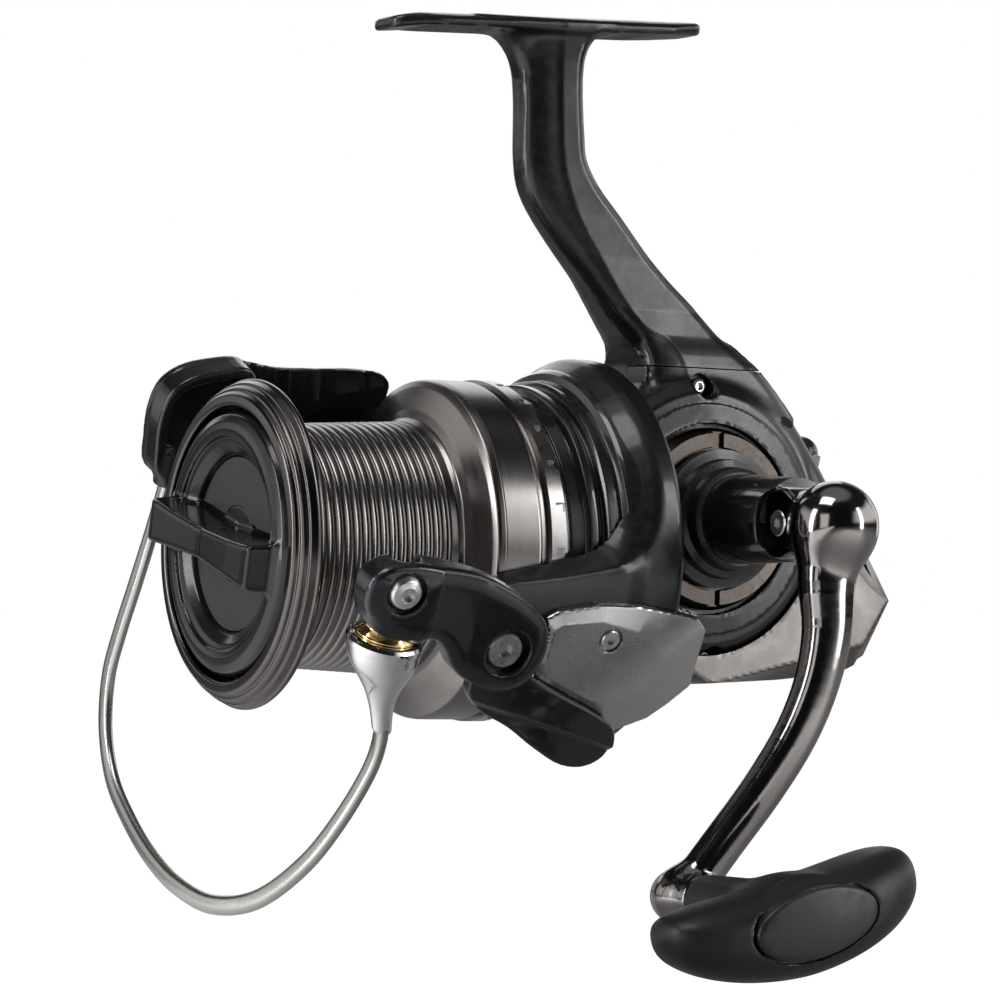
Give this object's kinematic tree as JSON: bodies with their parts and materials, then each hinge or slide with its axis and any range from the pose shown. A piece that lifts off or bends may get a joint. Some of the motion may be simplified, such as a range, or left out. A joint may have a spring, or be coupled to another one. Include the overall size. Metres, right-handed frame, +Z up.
{
  "type": "spinning reel",
  "caption": "Long-cast spinning reel with foot, folding crank and T-knob, rotor with folding bail and line roller, and a sliding spool with a front drag knob.",
  "frame": {"origin": "on the main shaft's axis, in the plane of the crank axis", "axes": "+X forward along the main shaft towards the spool's front, +Y towards the crank side, +Z up to the rod foot"},
  "size_m": [0.1925, 0.182, 0.2251],
  "materials": {
    "body_paint": "glossy metallic graphite paint over carbon-filled nylon",
    "smoked_chrome": "dark smoked plating, polished, slightly cloudy",
    "spool_aluminium": "turned and anodised gunmetal, polished",
    "black_plastic": "semi-gloss moulded black plastic",
    "gloss_black": "gloss black lacquer over aluminium",
    "soft_black": "soft matt rubber",
    "knob_cap_satin": "satin dark moulding",
    "bright_chrome": "bright chrome plating",
    "gold": "gold-coloured hard coating or machined brass",
    "steel": "satin stainless steel",
    "zinc": "die-cast, machined teeth",
    "acetal": "white acetal",
    "felt": "black woven drag washer"
  },
  "bodies": {
    "root": {"reel_body": "body_paint", "side_cover": "body_paint", "rear_cover": "smoked_chrome", "cover_screws": "steel", "rear_cover_screws": "steel", "crank_ring": "body_paint", "left_bearing": "steel", "right_bearing": "steel", "front_bearing": "steel", "shaft_cap": "black_plastic", "one_way_clutch": "steel", "clutch_plate": "body_paint", "clutch_screws": "steel", "guide_rod": "steel", "worm_bush": "black_plastic"},
    "drive": {"drive_gear": "zinc", "drive_shaft": "steel", "shank_collar": "black_plastic", "handle_shank": "gloss_black", "fold_pin": "steel"},
    "crank_arm": {"handle_arm": "smoked_chrome", "knob_spindle": "steel"},
    "knob": {"handle_knob": "soft_black", "knob_cap": "knob_cap_satin", "knob_bearings": "steel"},
    "rotor": {"rotor": "body_paint", "pinion_gear": "gold", "clutch_sleeve": "steel", "rotor_nut": "steel", "arm_cover_a": "smoked_chrome", "arm_cover_b": "body_paint", "arm_cover_screws": "steel", "bail_pivot_screws": "steel", "bail_spring": "steel"},
    "bail": {"bail_arm": "body_paint", "bail_cone": "bright_chrome", "roller_screw": "steel", "bail_wire": "steel", "bail_lever": "body_paint"},
    "roller": {"line_roller": "gold", "roller_bearing": "steel"},
    "shaft": {"main_shaft": "steel", "slider_block": "zinc", "slider_pawl": "gold"},
    "spool": {"spool": "spool_aluminium", "click_ring": "spool_aluminium", "spool_bush": "acetal", "drag_washers": "felt", "drag_discs": "steel", "drag_retainer": "steel", "line_clip": "steel"},
    "drag_knob": {"drag_knob": "black_plastic", "drag_nut": "steel", "knob_insets": "black_plastic"},
    "worm": {"worm_shaft": "steel", "worm_gear": "acetal"},
    "anti_reverse": {"anti_reverse_lever": "body_paint"}
  },
  "joints": [
    {"name": "crank_turn", "type": "hinge", "parent": "root", "child": "drive", "pos_m": [0, 0, 0.0093], "axis": [0, 1, 0], "continuous": true},
    {"name": "crank_fold", "type": "hinge", "parent": "drive", "child": "crank_arm", "pos_m": [0, 0.06, 0.0083], "axis": [-1, 0, 0], "range_deg": [0, 40]},
    {"name": "knob_turn", "type": "hinge", "parent": "crank_arm", "child": "knob", "pos_m": [0.0348, 0, -0.0778], "axis": [0, 1, 0], "continuous": true},
    {"name": "rotor_turn", "type": "hinge", "parent": "root", "child": "rotor", "pos_m": [0, 0, 0], "axis": [1, 0, 0], "continuous": true},
    {"name": "bail_open", "type": "hinge", "parent": "rotor", "child": "bail", "pos_m": [0.074, 0, 0], "axis": [0, -0.9092, 0.4163], "range_deg": [0, 100]},
    {"name": "roller_turn", "type": "hinge", "parent": "bail", "child": "roller", "pos_m": [0.1046, 0.04746, -0.02173], "axis": [0, 0.4163, 0.9092], "continuous": true},
    {"name": "spool_stroke", "type": "slide", "parent": "root", "child": "shaft", "axis": [1, 0, 0], "range_m": [-0.0065, 0.029]},
    {"name": "spool_turn", "type": "hinge", "parent": "shaft", "child": "spool", "pos_m": [0, 0, 0], "axis": [1, 0, 0], "continuous": true},
    {"name": "drag_set", "type": "hinge", "parent": "shaft", "child": "drag_knob", "pos_m": [0, 0, 0], "axis": [1, 0, 0], "range_deg": [-540, 180]},
    {"name": "worm_turn", "type": "hinge", "parent": "root", "child": "worm", "pos_m": [0, 0.003, -0.0126], "axis": [1, 0, 0], "continuous": true},
    {"name": "anti_reverse_switch", "type": "hinge", "parent": "root", "child": "anti_reverse", "pos_m": [-0.0362, 0, 0.0202], "axis": [0, -1, 0], "range_deg": [0, 14]}
  ],
  "couplings": [
    {"joint": "rotor_turn", "follows": "crank_turn", "ratio": 4.5556},
    {"joint": "worm_turn", "follows": "crank_turn", "ratio": -3.4167}
  ]
}
